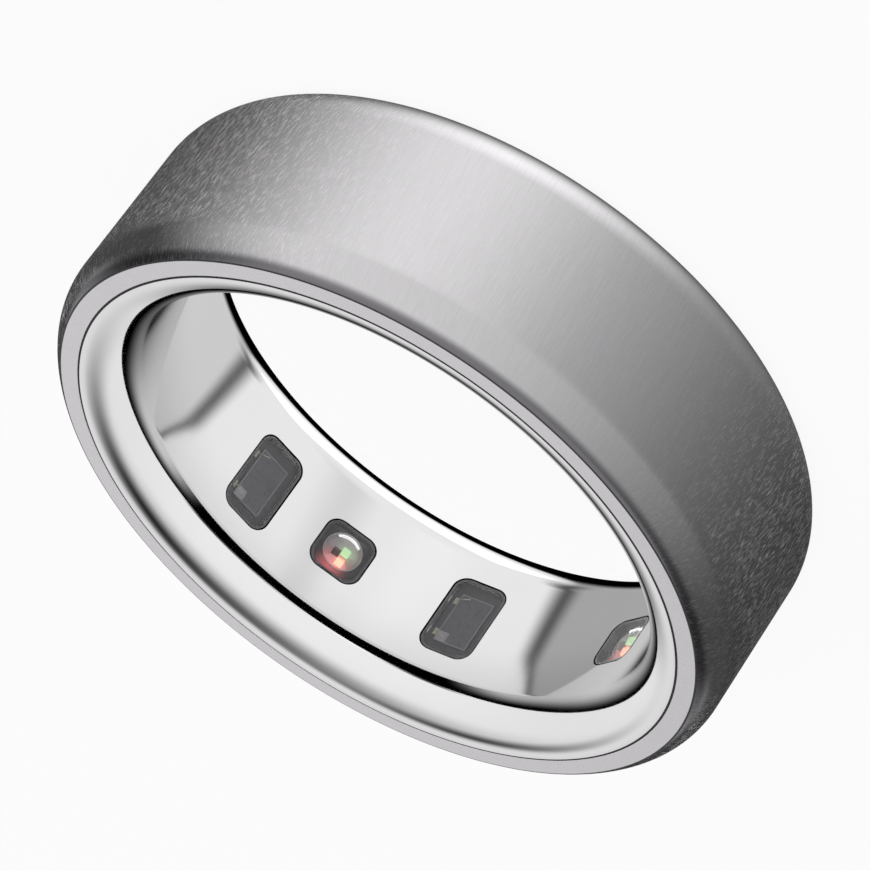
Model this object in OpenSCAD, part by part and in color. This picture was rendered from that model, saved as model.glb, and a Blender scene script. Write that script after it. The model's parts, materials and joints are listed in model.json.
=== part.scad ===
// A smart ring, lying on its rear rim.
// The origin is the centre of the rear face and +Z runs along the finger.
// Places round the ring are angles in degrees from +Y, counter-clockwise seen from +Z.

/* [Ring] */
// Diameter of the finger bore
bore_d = 19.9; // [16:0.1:23]
// Width of the ring along the finger
ring_w = 7.9; // [7.5:0.1:10]
// Thickness of the ring from the bore to the outside
ring_t = 2.95; // [2.9:0.05:3.6]

/* [Outer shell] */
// Radial width of the flat rim
rim_w = 0.69; // [0.5:0.01:0.75]
// How far the rounded edge drops from the outside to the rim
edge_drop = 0.63; // [0.45:0.01:0.7]
// Length of the rounded edge along the ring
edge_len = 1.29; // [0.9:0.01:1.6]
// Thickness of the shell over the electronics
shell_wall = 0.75; // [0.6:0.01:0.8]
// Depth of the rim flange along the ring
flange_t = 1; // [0.8:0.05:1.2]

/* [Inner liner] */
// Thickness of the liner in the bore
liner_wall = 0.3; // [0.25:0.01:0.33]
// Thickness of the liner's rounded lip
lip_wall = 0.45; // [0.4:0.01:0.6]
// Width of the seam between the rim and the lip
seam_w = 0.08; // [0.05:0.01:0.12]
// Depth of the seam's seal below the rim
seam_recess = 0.04; // [0.02:0.01:0.1]

/* [Windows] */
// Width of every window round the ring
window_w = 2.06; // [1.9:0.01:2.2]
// Length of a receiver window along the ring
receiver_h = 3.3; // [2.8:0.01:3.4]
// Length of an emitter window along the ring
emitter_h = 2.06; // [1.9:0.01:2.2]
// Corner radius of the windows
window_corner = 0.52; // [0.3:0.01:0.7]
// Width of the black frame that lines a window
frame_w = 0.1; // [0.08:0.01:0.15]
// How far the window fills lie below the bore
window_recess = 0.02; // [0.01:0.01:0.05]
// Thickness of a receiver window's resin
resin_t = 0.12; // [0.08:0.01:0.13]

/* [Receivers] */
// Angles of the three receivers
receivers_at = [-23.9, 27.2, 94]; // [-30:0.1:100]
// Width and thickness of a receiver's base
receiver_base = [2.6, 0.26]; // [0.2:0.01:2.8]
// Gap between a receiver's base and each end of the bay
receiver_end_gap = 0.46; // [0.2:0.01:0.6]
// Width, thickness and length of a photodiode die
die_size = [1.3, 0.12, 2.2]; // [0.1:0.01:2.4]
// Width, thickness and length of a gold pad
pad_size = [0.16, 0.02, 0.28]; // [0.01:0.01:0.4]
// Width, thickness and length of the bond pad on the die
die_pad = [0.28, 0.01, 0.28]; // [0.01:0.01:0.4]
// Diameter of a bond wire
wire_d = 0.036; // [0.025:0.001:0.04]
// Height of a bond wire's loop above the base
wire_rise = 0.16; // [0.15:0.01:0.18]
// Diameter of the foot at each end of a bond wire
wire_foot_d = 0.09; // [0.06:0.01:0.12]
// Height of the foot at each end of a bond wire
wire_foot_t = 0.02; // [0.01:0.01:0.03]

/* [Emitters] */
// Angles of the two emitters
emitters_at = [-1.8, 69.6]; // [-10:0.1:75]
// Width, thickness and length of an emitter's base
emitter_base = [2.3, 0.24, 2.3]; // [0.2:0.01:2.5]
// How far the emitter is set towards the rear in its window
emitter_set = 0.12; // [0:0.01:0.15]
// Diameter of the lens dome
lens_d = 1.56; // [1.2:0.01:1.6]
// Thickness of the lens's flange
lens_flange = 0.05; // [0.03:0.01:0.08]
// Height of the lens dome
lens_rise = 0.3; // [0.2:0.01:0.32]
// Width, thickness and length of an emitter die
emitter_die = [0.28, 0.1, 0.28]; // [0.05:0.01:0.3]

/* [Circuit] */
// Angle at which the flexible circuit starts
flex_from = -52; // [-54:0.5:-50]
// Angle at which the flexible circuit ends
flex_to = 172; // [170:0.5:174]
// Thickness of the flexible circuit
flex_t = 0.12; // [0.08:0.01:0.15]
// Gap between neighbours along the circuit
part_gap = 0.42; // [0.3:0.01:0.45]
// Width and thickness of the battery's protection board
protection_size = [2, 0.2]; // [0.15:0.01:2.2]
// Gap between the protection board and each end of the bay
protection_end_gap = 0.26; // [0.1:0.01:0.5]
// Width, thickness and length of the protection chip
protection_chip_size = [1.2, 0.35, 1.2]; // [0.3:0.01:1.6]
// Width, thickness and length of a capacitor
capacitor_size = [0.5, 0.5, 1]; // [0.3:0.01:1.1]
// Width, thickness and length of a resistor
resistor_size = [0.35, 0.25, 0.6]; // [0.2:0.01:0.8]
// Width, thickness and length of the power inductor
inductor_size = [2, 0.8, 1.6]; // [0.5:0.01:2.2]
// Width, thickness and length of the optical front-end chip
front_end_size = [2.6, 0.5, 2.6]; // [0.4:0.01:2.8]
// Width, thickness and length of the radio processor
processor_size = [3.2, 0.6, 3.2]; // [0.4:0.01:3.4]
// Width, thickness and length of the power chip
power_size = [2.4, 0.5, 2.4]; // [0.4:0.01:2.6]
// Width, thickness and length of the memory chip
memory_size = [2, 0.45, 2.6]; // [0.4:0.01:2.8]
// Width, thickness and length of the motion sensor
motion_size = [2, 0.6, 2]; // [0.4:0.01:2.2]
// Width, thickness and length of a timing crystal
crystal_size = [1.6, 0.4, 1.2]; // [0.3:0.01:1.8]
// Width of the crystal's base left bare round its lid
crystal_step = 0.12; // [0.05:0.01:0.2]
// Width, thickness and length of a temperature sensor
temperature_size = [0.6, 0.3, 1]; // [0.2:0.01:1.1]

/* [Battery and coil] */
// Thickness of the battery cell
battery_t = 1.48; // [1.2:0.01:1.5]
// Angle between the flexible circuit's end and the battery
battery_gap = 8; // [6:0.5:10]
// Thickness of the battery's glue pad
glue_t = 0.15; // [0.1:0.01:0.2]
// Angle of the battery's sealed end strip
terrace_angle = 4; // [3:0.5:5]
// Thickness of the battery's sealed end strip
terrace_t = 0.3; // [0.2:0.01:0.4]
// Thickness of a battery tab
tab_t = 0.06; // [0.04:0.01:0.08]
// Width of a battery tab
tab_w = 0.8; // [0.5:0.01:1]
// Thickness of the charging coil
coil_t = 0.16; // [0.1:0.01:0.18]
// Width of one turn of the charging coil
coil_wire = 0.26; // [0.2:0.01:0.3]
// Gap between the coil's turns
coil_gap = 0.08; // [0.05:0.01:0.1]
// Turns of the charging coil
coil_turns = 4; // [3:1:5]
// Thickness of the ferrite sheet
ferrite_t = 0.17; // [0.1:0.01:0.18]
// Thickness of the antenna's carrier
carrier_t = 0.8; // [0.6:0.01:0.9]
// Thickness of the antenna strip
antenna_t = 0.05; // [0.03:0.01:0.08]
// Width of the antenna strip
antenna_w = 0.6; // [0.4:0.01:0.8]
// Thickness of the insulating film inside the shell
film_t = 0.05; // [0.03:0.01:0.08]

/* [Hidden] */
$fn = 96;
// Sides of the wide cut that gives the thin window fills their curve
curve_sides = 360;
// Degrees in a full turn
full_turn = 360;
// Clearance between pieces that are bonded or stacked
fit = 0.02;
// Length by which a cut runs past what it cuts
overrun = 0.5;
// Clearance at each side of a seam's seal
seal_fit = 0.005;
// Gap between the liner and the bases behind it
base_gap = 0.05;
// Clearance round a die inside its clear lens
die_clear = 0.01;

bore_r = bore_d / 2;
outer_r = bore_r + ring_t;
rim_r = outer_r - edge_drop;
shell_in_r = rim_r - rim_w;
lip_edge_r = shell_in_r - seam_w;
lip_r = lip_edge_r - bore_r;
groove_r = outer_r - shell_wall;
liner_r = bore_r + liner_wall;
mid_z = ring_w / 2;
// Radius of the rounded edge, which is tangent to the outside and meets the rim at its outer edge
edge_r = (edge_drop * edge_drop + edge_len * edge_len) / (2 * edge_drop);

// The electronics lie between the two potting rings
bay_from = lip_r + 2 * fit;
bay_to = ring_w - bay_from;
bay_w = bay_to - bay_from;

// Windows and what lies behind them
clear_w = window_w - 2 * frame_w - 2 * fit;
clear_receiver_h = receiver_h - 2 * frame_w - 2 * fit;
clear_emitter_h = emitter_h - 2 * frame_w - 2 * fit;
clear_corner = window_corner - frame_w;
fill_r = bore_r + window_recess;
base_y = liner_r + base_gap;
lens_y = fill_r + lens_rise;
emitter_y = lens_y + lens_flange;
lens_r = (pow(lens_d / 2, 2) + lens_rise * lens_rise) / (2 * lens_rise);
// Places of the pads, wires and dice, as shares of the half sizes that they lie in
pad_side_share = 0.85;
pad_rear_share = -0.51;
pad_front_share = 0.45;
die_pad_share = [0.6, 0.77];
first_foot_share = [0.48, -0.88];
green_share = [-0.14, -0.06];
red_share = [-0.14, 0.5];
infrared_share = [0.24, 0.16];

// The circuit clears the corners of the widest base behind it
base_corner_r = norm([receiver_base[0] / 2, base_y + receiver_base[1]]);
emitter_corner_r = norm([emitter_base[0] / 2, emitter_y + emitter_base[1]]);
flex_r = max(base_corner_r, emitter_corner_r) + fit;
chip_y = flex_r + flex_t + fit;
film_r = groove_r - fit - film_t;

function arc_angle(len, r) = len / r * 180 / PI;

// The row of parts on the outside of the circuit, from its start
capacitor_columns = 3;
resistor_columns = 3;
column_pitch_share = 1.6;
capacitor_row_w = capacitor_columns * capacitor_size[0] * column_pitch_share;
resistor_row_w = resistor_columns * resistor_size[0] * column_pitch_share;
row = [
    ["protection", protection_size[0]],
    ["capacitors", capacitor_row_w],
    ["inductor", inductor_size[0]],
    ["front end", front_end_size[0]],
    ["processor", processor_size[0]],
    ["power", power_size[0]],
    ["memory", memory_size[0]],
    ["motion", motion_size[0]],
    ["slow crystal", crystal_size[0]],
    ["fast crystal", crystal_size[0]],
    ["resistors", resistor_row_w]
];
function row_place(part) = search([part], row)[0];
function start_of(place) =
    place == 0 ? flex_from + arc_angle(fit, chip_y)
    : start_of(place - 1) + arc_angle(row[place - 1][1] + part_gap, chip_y);
function row_start(part) = start_of(row_place(part));
function row_end(part) = row_start(part) + arc_angle(row[row_place(part)][1], chip_y);
function row_centre(part) = (row_start(part) + row_end(part)) / 2;
column_offset_share = 0.26;

// The battery takes the rest of the way round
battery_from = flex_to + battery_gap;
battery_to = flex_from + full_turn - battery_gap;
battery_r = liner_r + glue_t + 2 * fit;
terrace_r = battery_r + (battery_t - terrace_t) / 2;
board_r = chip_y + protection_size[1];
tab_at_share = 0.35;

// The coil and the antenna's carrier fill the circuit's last stretch
coil_from = receivers_at[2] + arc_angle(receiver_base[0] / 2 + 2 * part_gap, liner_r);
coil_to = flex_to - arc_angle(part_gap, liner_r);
carrier_from = row_end("resistors") + arc_angle(part_gap, chip_y);
carrier_to = flex_to - arc_angle(part_gap, chip_y);

RECEIVERS = [for (i = [1:3]) i];
EMITTERS = [for (i = [1:2]) i];

// A full ring of rectangular section
module ring(r_in, r_out, z0, z1) {
    rotate_extrude()
        translate([r_in, z0])
            square([r_out - r_in, z1 - z0]);
}

// A curved block between two angles
module sector(r_in, r_out, z0, z1, from, to) {
    rotate([0, 0, 90 + from])
        rotate_extrude(angle = to - from)
            translate([r_in, z0])
                square([r_out - r_in, z1 - z0]);
}

// What is drawn facing the bore at +Y, turned to its place round the ring
module facing(at) {
    rotate([0, 0, at])
        children();
}

module rounded_rectangle(w, h, r) {
    square([w - 2 * r, h], center = true);
    square([w, h - 2 * r], center = true);
    for (x = [-1, 1], y = [-1, 1])
        translate([x * (w / 2 - r), y * (h / 2 - r)])
            circle(r = r);
}

// A flat plate square to the radius, between two distances from the ring's axis
module plate(w, h, r, y0, y1) {
    translate([0, y1, mid_z])
        rotate([90, 0, 0])
            linear_extrude(y1 - y0)
                rounded_rectangle(w, h, r);
}

// A chip of the given width, thickness and length, with its inner face at a distance from the axis
module chip(size, y0, x = 0, z = 0) {
    translate([x - size[0] / 2, y0, mid_z + z - size[2] / 2])
        cube(size);
}

module outer_shell() {
    color("#77787b")
        rotate_extrude()
            difference() {
                intersection() {
                    translate([shell_in_r, 0])
                        square([outer_r - shell_in_r, ring_w]);
                    union() {
                        for (z = [edge_len, ring_w - edge_len])
                            translate([outer_r - edge_r, z])
                                circle(r = edge_r);
                        translate([outer_r - edge_r, edge_len])
                            square([edge_r, ring_w - 2 * edge_len]);
                    }
                }
                translate([shell_in_r - overrun, flange_t])
                    square([groove_r - shell_in_r + overrun, ring_w - 2 * flange_t]);
            }
}

// Section of the liner's lip, a quarter of a round bead, less a quarter of a smaller one
module lip_section(r_out, r_in) {
    difference() {
        intersection() {
            translate([lip_edge_r, lip_r])
                circle(r = r_out);
            translate([lip_edge_r - lip_r - overrun, -overrun])
                square([lip_r + overrun, lip_r + overrun]);
        }
        if (r_in > 0)
            translate([lip_edge_r, lip_r])
                circle(r = r_in);
    }
}

module both_ends() {
    children();
    translate([0, ring_w])
        mirror([0, 1])
            children();
}

module inner_liner() {
    color("#dcdadc")
        difference() {
            rotate_extrude() {
                both_ends()
                    lip_section(lip_r, lip_r - lip_wall);
                translate([bore_r, lip_r])
                    square([liner_wall, ring_w - 2 * lip_r]);
            }
            for (at = receivers_at)
                facing(at)
                    plate(window_w, receiver_h, window_corner, bore_r - overrun, liner_r + overrun);
            for (at = emitters_at)
                facing(at)
                    plate(window_w, emitter_h, window_corner, bore_r - overrun, liner_r + overrun);
        }
}

module seam_seal() {
    color("#1b1a1c")
        ring(lip_edge_r + seal_fit, shell_in_r - seal_fit, seam_recess, lip_wall);
}

// The potting fills the lip's hollow and reaches out to the shell's groove
module potting_ring() {
    color("#3a3d42")
        rotate_extrude() {
            lip_section(lip_r - lip_wall - fit, 0);
            translate([lip_edge_r, lip_wall + fit])
                square([seam_w - fit, lip_r - lip_wall - fit]);
            translate([lip_edge_r, flange_t + fit])
                square([film_r - fit - lip_edge_r, lip_r - flange_t - fit]);
        }
}

module turned_over() {
    translate([0, 0, ring_w])
        mirror([0, 0, 1])
            children();
}

module shell_film() {
    color("#8a5a1e")
        ring(film_r, film_r + film_t, bay_from, bay_to);
}

module main_flex() {
    color("#1f4d2f")
        sector(flex_r, flex_r + flex_t, bay_from + fit, bay_to - fit, flex_from, flex_to);
}

module temperature_sensors() {
    between = [
        (receivers_at[0] + emitters_at[0]) / 2,
        (emitters_at[0] + receivers_at[1]) / 2,
        (receivers_at[1] + emitters_at[1]) / 2
    ];
    color("#2a2a2c")
        for (at = between)
            facing(at)
                chip(temperature_size, base_y);
}

module row_chip(part, size) {
    facing(row_centre(part))
        chip(size, chip_y);
}

module protection_board() {
    color("#1c3d63")
        row_chip("protection", concat(protection_size, bay_w - 2 * protection_end_gap));
}

module protection_chip() {
    color("#2b2b2e")
        facing(row_centre("protection"))
            chip(protection_chip_size, board_r + fit);
}

module power_inductor() {
    color("#565452")
        row_chip("inductor", inductor_size);
}

module optical_front_end() {
    color("#29292c")
        row_chip("front end", front_end_size);
}

module radio_processor() {
    color("#1f1f22")
        row_chip("processor", processor_size);
}

module power_chip() {
    color("#2c2c30")
        row_chip("power", power_size);
}

module memory_chip() {
    color("#242427")
        row_chip("memory", memory_size);
}

module motion_sensor() {
    color("#303035")
        row_chip("motion", motion_size);
}

// Small parts in columns along the ring, two to a column
module columns(part, count, size) {
    for (k = [0:count - 1], side = [-1, 1])
        facing(row_start(part) + arc_angle((k + 0.5) * size[0] * column_pitch_share, chip_y))
            chip(size, chip_y, 0, side * bay_w * column_offset_share);
}

module capacitors() {
    color("#b9a585")
        columns("capacitors", capacitor_columns, capacitor_size);
}

module resistors() {
    color("#3b3b3d")
        columns("resistors", resistor_columns, resistor_size);
}

module timing_crystals() {
    lid = crystal_size - [2 * crystal_step, crystal_size[1] / 2, 2 * crystal_step];
    color("#c9c6bb")
        for (part = ["slow crystal", "fast crystal"])
            facing(row_centre(part)) {
                chip(crystal_size - [0, crystal_size[1] / 2, 0], chip_y);
                chip(lid, chip_y + crystal_size[1] / 2);
            }
}

module battery_cell() {
    color("#a9adb3") {
        sector(battery_r, battery_r + battery_t, bay_from + fit, bay_to - fit,
               battery_from, battery_to - terrace_angle);
        sector(terrace_r, terrace_r + terrace_t, bay_from + fit, bay_to - fit,
               battery_to - terrace_angle, battery_to);
    }
}

module battery_glue_pad() {
    color("#e2ddd0")
        sector(liner_r + fit, liner_r + fit + glue_t, bay_from + 2 * fit, bay_to - 2 * fit,
               battery_from + terrace_angle / 2, battery_to - 2 * terrace_angle);
}

module battery_tabs() {
    tab_r = norm([protection_size[0] / 2, board_r]) + fit;
    color("#c4c5c7")
        for (side = [-1, 1])
            sector(tab_r, tab_r + tab_t,
                   mid_z + side * bay_w * tab_at_share - tab_w / 2,
                   mid_z + side * bay_w * tab_at_share + tab_w / 2,
                   battery_to - terrace_angle, row_centre("protection") + full_turn);
}

module coil_turn(i) {
    inset = i * (coil_wire + coil_gap);
    swing = arc_angle(inset, liner_r);
    hole = arc_angle(coil_wire, liner_r);
    difference() {
        sector(liner_r + fit, liner_r + fit + coil_t, bay_from + fit + inset, bay_to - fit - inset,
               coil_from + swing, coil_to - swing);
        sector(liner_r + fit - overrun, liner_r + fit + coil_t + overrun,
               bay_from + fit + inset + coil_wire, bay_to - fit - inset - coil_wire,
               coil_from + swing + hole, coil_to - swing - hole);
    }
}

module charging_coil() {
    color("#b5713a")
        for (i = [0:coil_turns - 1])
            coil_turn(i);
}

module ferrite_sheet() {
    color("#4a4744")
        sector(liner_r + coil_t + 2 * fit, liner_r + coil_t + ferrite_t + 2 * fit,
               bay_from + fit, bay_to - fit, coil_from, coil_to);
}

module antenna_carrier() {
    color("#e6e4de")
        sector(chip_y, chip_y + carrier_t, bay_from + fit, bay_to - fit, carrier_from, carrier_to);
}

// One open loop of strip on the outside of the carrier
module antenna_strip() {
    strip_r = chip_y + carrier_t + fit;
    turn = arc_angle(antenna_w, strip_r);
    color("#c28a3a")
        difference() {
            sector(strip_r, strip_r + antenna_t, bay_from + 2 * fit, bay_to - 2 * fit,
                   carrier_from + turn, carrier_to - turn);
            sector(strip_r - overrun, strip_r + antenna_t + overrun,
                   bay_from + 2 * fit + antenna_w, bay_to - 2 * fit - antenna_w,
                   carrier_from - turn, carrier_to - 2 * turn);
        }
}

// A plate whose inner face follows the bore, a little below it
module bore_plate(w, h, r, y1) {
    difference() {
        plate(w, h, r, bore_r - overrun, y1);
        translate([0, 0, -overrun])
            cylinder(r = fill_r, h = ring_w + 2 * overrun, $fn = curve_sides);
    }
}

module window_frame(h, clear_h) {
    color("#232225")
        difference() {
            bore_plate(window_w - 2 * fit, h - 2 * fit, window_corner - fit, liner_r);
            plate(clear_w + fit, clear_h + fit, clear_corner, bore_r - overrun, liner_r + overrun);
        }
}

module receiver_window() {
    color("#6b6a70", 0.5)
        bore_plate(clear_w, clear_receiver_h, clear_corner - fit / 2, fill_r + resin_t);
}

module receiver_base() {
    color("#343336")
        chip(concat(receiver_base, bay_w - 2 * receiver_end_gap), base_y);
}

module receiver_die() {
    color("#55545c")
        chip(die_size, base_y - die_size[1]);
}

pad_x = pad_side_share * clear_w / 2;
pad_z = [pad_rear_share * clear_receiver_h / 2, pad_front_share * clear_receiver_h / 2];
die_pad_x = die_pad_share[0] * die_size[0] / 2;
die_pad_z = die_pad_share[1] * die_size[2] / 2;
die_pad_y = base_y - die_size[1] - die_pad[1];

module receiver_pads() {
    color("#c9a24d") {
        for (z = pad_z)
            chip(pad_size, base_y - pad_size[1], pad_x, z);
        chip(die_pad, die_pad_y, die_pad_x, die_pad_z);
    }
}

// A wire that rises from one foot, crosses level and drops to the other
module bond_wire(from, to) {
    level_y = base_y - wire_rise;
    span = [to[0] - from[0], to[2] - from[2]];
    for (end = [from, to])
        translate([end[0], level_y, mid_z + end[2]])
            rotate([-90, 0, 0]) {
                cylinder(d = wire_d, h = end[1] - level_y);
                translate([0, 0, end[1] - level_y - wire_foot_t])
                    cylinder(d = wire_foot_d, h = wire_foot_t);
            }
    translate([from[0], level_y, mid_z + from[2]])
        rotate([0, 90 - atan2(span[1], span[0]), 0])
            cylinder(d = wire_d, h = norm(span));
}

module bond_wires() {
    pad_face = base_y - pad_size[1];
    die_face = base_y - die_size[1];
    color("#d8b25a") {
        bond_wire([pad_x, pad_face, pad_z[0]],
                  [first_foot_share[0] * die_size[0] / 2, die_face,
                   first_foot_share[1] * die_size[2] / 2]);
        bond_wire([pad_x, pad_face, pad_z[1]], [die_pad_x, die_pad_y, die_pad_z]);
    }
}

module emitter_base() {
    color("#39373a")
        chip(emitter_base, emitter_y, 0, -emitter_set);
}

module emitter_die_at(share, grow = 0) {
    size = emitter_die + [2 * grow, grow, 2 * grow];
    chip(size, emitter_y - emitter_die[1] - grow,
         share[0] * lens_d / 2, share[1] * lens_d / 2 - emitter_set);
}

module emitter_lens() {
    color("#e8ecec", 0.4)
        difference() {
            union() {
                translate([0, 0, -emitter_set])
                    plate(clear_w, clear_emitter_h - 2 * emitter_set, clear_corner - fit / 2,
                          emitter_y - lens_flange, emitter_y);
                intersection() {
                    translate([0, fill_r + lens_r, mid_z - emitter_set])
                        sphere(r = lens_r);
                    translate([0, emitter_y - lens_flange / 2, mid_z - emitter_set])
                        rotate([90, 0, 0])
                            cylinder(d = lens_d, h = lens_rise + lens_flange);
                }
            }
            for (share = [green_share, red_share, infrared_share])
                emitter_die_at(share, die_clear);
        }
}

module green_die() {
    color("#6fbf6a")
        emitter_die_at(green_share);
}

module red_die() {
    color("#d05a4a")
        emitter_die_at(red_share);
}

module infrared_die() {
    color("#4a3430")
        emitter_die_at(infrared_share);
}

outer_shell();
inner_liner();
turned_over() seam_seal();  // front_seam_seal
seam_seal();  // rear_seam_seal
turned_over() potting_ring();  // front_potting_ring
potting_ring();  // rear_potting_ring
shell_film();
main_flex();
temperature_sensors();
optical_front_end();
radio_processor();
power_chip();
memory_chip();
motion_sensor();
timing_crystals();
power_inductor();
capacitors();
resistors();
protection_board();
protection_chip();
battery_cell();
battery_glue_pad();
battery_tabs();
charging_coil();
ferrite_sheet();
antenna_carrier();
antenna_strip();
for (i = RECEIVERS)
    facing(receivers_at[i - 1]) {
        receiver_window();
        window_frame(receiver_h, clear_receiver_h);
        receiver_base();
        receiver_die();
        receiver_pads();
        bond_wires();
    }
for (i = EMITTERS)
    facing(emitters_at[i - 1]) {
        emitter_lens();
        window_frame(emitter_h, clear_emitter_h);
        emitter_base();
        green_die();
        red_die();
        infrared_die();
    }
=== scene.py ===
"""The looks of a smart ring: brushed outside, polished inside, with sensor windows in its bore.

Lengths are in metres. The ring lies on its rear rim and +Z runs along the finger.
Places round the ring are angles in degrees from +Y, counter-clockwise seen from +Z.
"""
import json
import math

import bpy
from mathutils import Matrix, Vector
from mathutils.geometry import delaunay_2d_cdt


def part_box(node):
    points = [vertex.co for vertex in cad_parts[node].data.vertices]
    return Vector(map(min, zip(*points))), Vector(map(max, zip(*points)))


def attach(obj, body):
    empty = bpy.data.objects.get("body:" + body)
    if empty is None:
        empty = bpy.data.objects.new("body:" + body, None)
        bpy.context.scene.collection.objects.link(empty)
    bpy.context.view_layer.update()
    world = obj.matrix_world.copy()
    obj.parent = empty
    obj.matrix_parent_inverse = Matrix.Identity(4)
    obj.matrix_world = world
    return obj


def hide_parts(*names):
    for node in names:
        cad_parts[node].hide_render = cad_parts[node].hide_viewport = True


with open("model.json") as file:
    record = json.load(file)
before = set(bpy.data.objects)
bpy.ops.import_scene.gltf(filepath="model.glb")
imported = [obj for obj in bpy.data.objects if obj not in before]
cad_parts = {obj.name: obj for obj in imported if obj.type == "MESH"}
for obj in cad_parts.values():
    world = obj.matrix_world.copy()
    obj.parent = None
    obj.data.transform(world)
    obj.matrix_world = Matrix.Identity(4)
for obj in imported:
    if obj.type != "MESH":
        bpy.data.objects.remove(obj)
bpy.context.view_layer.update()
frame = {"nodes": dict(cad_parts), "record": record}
record = frame["record"]
mm = 0.001

# The ring's main sizes, from the frame
mounts = {mount["name"]: mount for mount in record["mounts"]}
bore_r = mounts["finger_bore"]["dims"]["r_mm"] * mm
wall_length = mounts["finger_bore"]["dims"]["length_mm"] * mm
outer_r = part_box("outer_shell")[1].x
ring_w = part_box("outer_shell")[1].z
mid_z = ring_w / 2
lip_r = (ring_w - wall_length) / 2
lip_edge_r = bore_r + lip_r

# Outer shell
seam_w = 0.08 * mm
edge_drop = 0.63 * mm
edge_len = 1.29 * mm
shell_wall = 0.75 * mm
flange_t = 1 * mm
shell_in_r = lip_edge_r + seam_w
groove_r = outer_r - shell_wall
edge_r = (edge_drop ** 2 + edge_len ** 2) / (2 * edge_drop)
seam_round = 0.02 * mm
rim_round = 0.1 * mm

# Inner liner and the windows in it
liner_r = bore_r + 0.3 * mm
lip_wall = 0.45 * mm
window_w = 2.06 * mm
receiver_h = 3.3 * mm
emitter_h = 2.06 * mm
window_corner = 0.52 * mm
window_bevel = 0.035 * mm
frame_w = 0.1 * mm
fit = 0.02 * mm
fill_r = bore_r + 0.02 * mm
resin_t = 0.12 * mm
receivers_at = (-23.9, 27.2, 94)
emitters_at = (-1.8, 69.6)
wall_seam_at = 140

# Behind the windows
base_y = liner_r + 0.05 * mm
die_size = Vector((1.3, 0.12, 2.2)) * mm
pad_t = 0.02 * mm
wire_r = 0.018 * mm
wire_rise = 0.04 * mm
lens_d = 1.56 * mm
lens_rise = 0.3 * mm
lens_flange = 0.05 * mm
emitter_set = 0.12 * mm
clear_w = window_w - 2 * frame_w - 2 * fit
clear_receiver_h = receiver_h - 2 * frame_w - 2 * fit
clear_emitter_h = emitter_h - 2 * frame_w - 2 * fit
clear_corner = window_corner - frame_w - fit / 2
lens_y = fill_r + lens_rise
emitter_y = lens_y + lens_flange
lens_r = ((lens_d / 2) ** 2 + lens_rise ** 2) / (2 * lens_rise)

# How finely round things are drawn
ring_columns = 360
wall_rows = 6
lip_steps = 28
edge_steps = 20
round_steps = 4
corner_steps = 10
dome_rings = 24
dome_spokes = 96
bent_rings = 8
flat_rings = 2
weld = 1e-8


class Skin:
    """Faces with exact normals, joined where their corners meet."""

    def __init__(self):
        self.found = {}
        self.points = []
        self.faces = []
        self.normals = []
        self.finishes = []

    def point(self, place):
        key = tuple(round(c / weld) for c in place)
        if key not in self.found:
            self.found[key] = len(self.points)
            self.points.append(tuple(place))
        return self.found[key]

    def face(self, corners, normals, finish=0):
        indexes = []
        kept = []
        for place, normal in zip(corners, normals):
            index = self.point(place)
            if index not in indexes:
                indexes.append(index)
                kept.append(normal)
        if len(indexes) > 2:
            self.faces.append(indexes)
            self.normals.extend(tuple(n) for n in kept)
            self.finishes.append(finish)

    def grid(self, rows, finish=0):
        """Faces between rows of (place, normal) pairs."""
        for low, high in zip(rows, rows[1:]):
            for k in range(len(low) - 1):
                corners = (low[k], low[k + 1], high[k + 1], high[k])
                self.face([c[0] for c in corners], [c[1] for c in corners], finish)

    def make(self, name, *materials):
        mesh = bpy.data.meshes.new(name)
        mesh.from_pydata(self.points, [], self.faces)
        for material in materials:
            mesh.materials.append(material)
        for face, finish in zip(mesh.polygons, self.finishes):
            face.material_index = finish
            face.use_smooth = True
        mesh.normals_split_custom_set(self.normals)
        piece = bpy.data.objects.new(name, mesh)
        bpy.context.scene.collection.objects.link(piece)
        return piece


def turned(place, at):
    """A place that faces the bore at +Y, turned to an angle round the ring."""
    return Matrix.Rotation(math.radians(at), 3, "Z") @ Vector(place)


def straight(start, end, normal):
    """A straight stretch of a section, as (radius, height, normal) rows."""
    return [(*start, normal), (*end, normal)]


def arc(centre, radius, start, end, steps, sign=1):
    """A round stretch of a section. Angles are in degrees from outwards, towards +Z."""
    rows = []
    for k in range(steps + 1):
        t = math.radians(start + (end - start) * k / steps)
        way = (math.cos(t), math.sin(t))
        rows.append((centre[0] + radius * way[0], centre[1] + radius * way[1],
                     (sign * way[0], sign * way[1])))
    return rows


def lathe(skin, stretch, finish=0):
    """Turns a stretch of a section round the ring's axis."""
    rows = []
    for radius, height, normal in stretch:
        row = []
        for k in range(ring_columns + 1):
            t = 2 * math.pi * (k % ring_columns) / ring_columns
            way = Vector((math.cos(t), math.sin(t), 0))
            row.append((way * radius + Vector((0, 0, height)), way * normal[0] + Vector((0, 0, normal[1]))))
        rows.append(row)
    skin.grid(rows, finish)


def mirrored(stretch):
    """The same stretch of a section at the other rim."""
    return [(r, ring_w - z, (n[0], -n[1])) for r, z, n in reversed(stretch)]


def outline(width, height, corner, grow=0.0):
    """A rounded rectangle as (x, z, outward) points, counter-clockwise."""
    points = []
    middles = ((1, 1), (-1, 1), (-1, -1), (1, -1))
    for quarter, (sx, sz) in enumerate(middles):
        for k in range(corner_steps + 1):
            t = math.radians(90 * (quarter + k / corner_steps))
            way = (math.cos(t), math.sin(t))
            x = sx * (width / 2 - corner) + (corner + grow) * way[0]
            z = sz * (height / 2 - corner) + (corner + grow) * way[1]
            points.append((x, z, way))
    return points


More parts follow.
